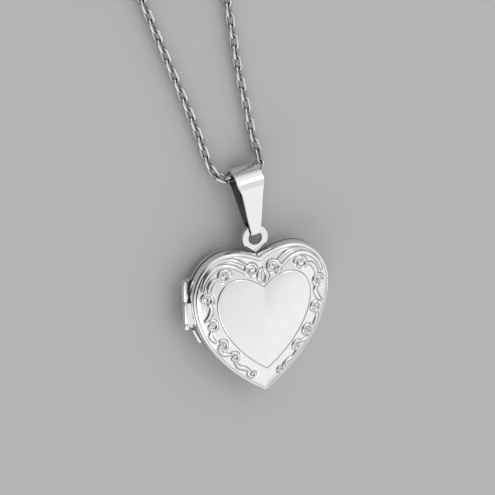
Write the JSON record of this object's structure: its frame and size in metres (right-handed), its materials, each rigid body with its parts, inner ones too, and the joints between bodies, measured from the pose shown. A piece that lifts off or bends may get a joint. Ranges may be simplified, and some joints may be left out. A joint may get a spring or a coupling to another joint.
{
  "type": "locket",
  "caption": "Heart-shaped locket with a hinged front, embossed border, strap bail and a cable chain with a lobster clasp.",
  "frame": {"origin": "middle of the box of the locket and its bail, on the surface that the locket lies on", "axes": "+Z out of the front cover, +Y from the point of the heart towards the bail, +X away from the hinge"},
  "size_m": [0.0337, 0.0864, 0.005],
  "materials": {
    "polished_steel": "polished",
    "brushed_steel": "satin",
    "chain_steel": "polished",
    "spring_steel": "satin",
    "clear_acetate": "clear"
  },
  "bodies": {
    "locket_back": {"back_cover": "polished_steel", "back_photo_frame": "polished_steel", "catch_bead": "polished_steel", "hinge_knuckle_upper": "polished_steel", "hinge_knuckle_lower": "polished_steel", "eye_tab": "polished_steel", "clasp_body": "polished_steel", "clasp_ring": "polished_steel", "end_ring": "polished_steel", "back_liner": "brushed_steel", "hinge_pin": "brushed_steel", "clasp_pin": "brushed_steel", "chain_left": "chain_steel", "chain_right": "chain_steel", "chain_coil": "chain_steel", "clasp_spring": "spring_steel", "back_photo_cover": "clear_acetate", "hinge_strap": "polished_steel"},
    "locket_front": {"front_cover": "polished_steel", "front_liner": "brushed_steel", "front_photo_frame": "polished_steel", "front_photo_cover": "clear_acetate", "catch_tongue": "polished_steel", "hinge_knuckle_middle": "polished_steel"},
    "bail_body": {"bail": "polished_steel", "chain_in_bail": "chain_steel"},
    "clasp_lever_body": {"clasp_lever": "polished_steel"}
  },
  "joints": [
    {"name": "cover_hinge", "type": "hinge", "parent": "locket_back", "child": "locket_front", "pos_m": [-0.01038, -0.00217, 0.0025], "axis": [0, -1, 0], "range_deg": [0, 160]},
    {"name": "bail_swing", "type": "hinge", "parent": "locket_back", "child": "bail_body", "pos_m": [0.0003, 0.00721, 0.00195], "axis": [0.9914, 0.1305, 0], "range_deg": [-90, 110]},
    {"name": "clasp_lever_pivot", "type": "hinge", "parent": "locket_back", "child": "clasp_lever_body", "pos_m": [0.00573, 0.05903, 0.0009], "axis": [0, 0, 1], "range_deg": [0, 22], "stiffness_Nm_per_rad": 0.0001}
  ]
}
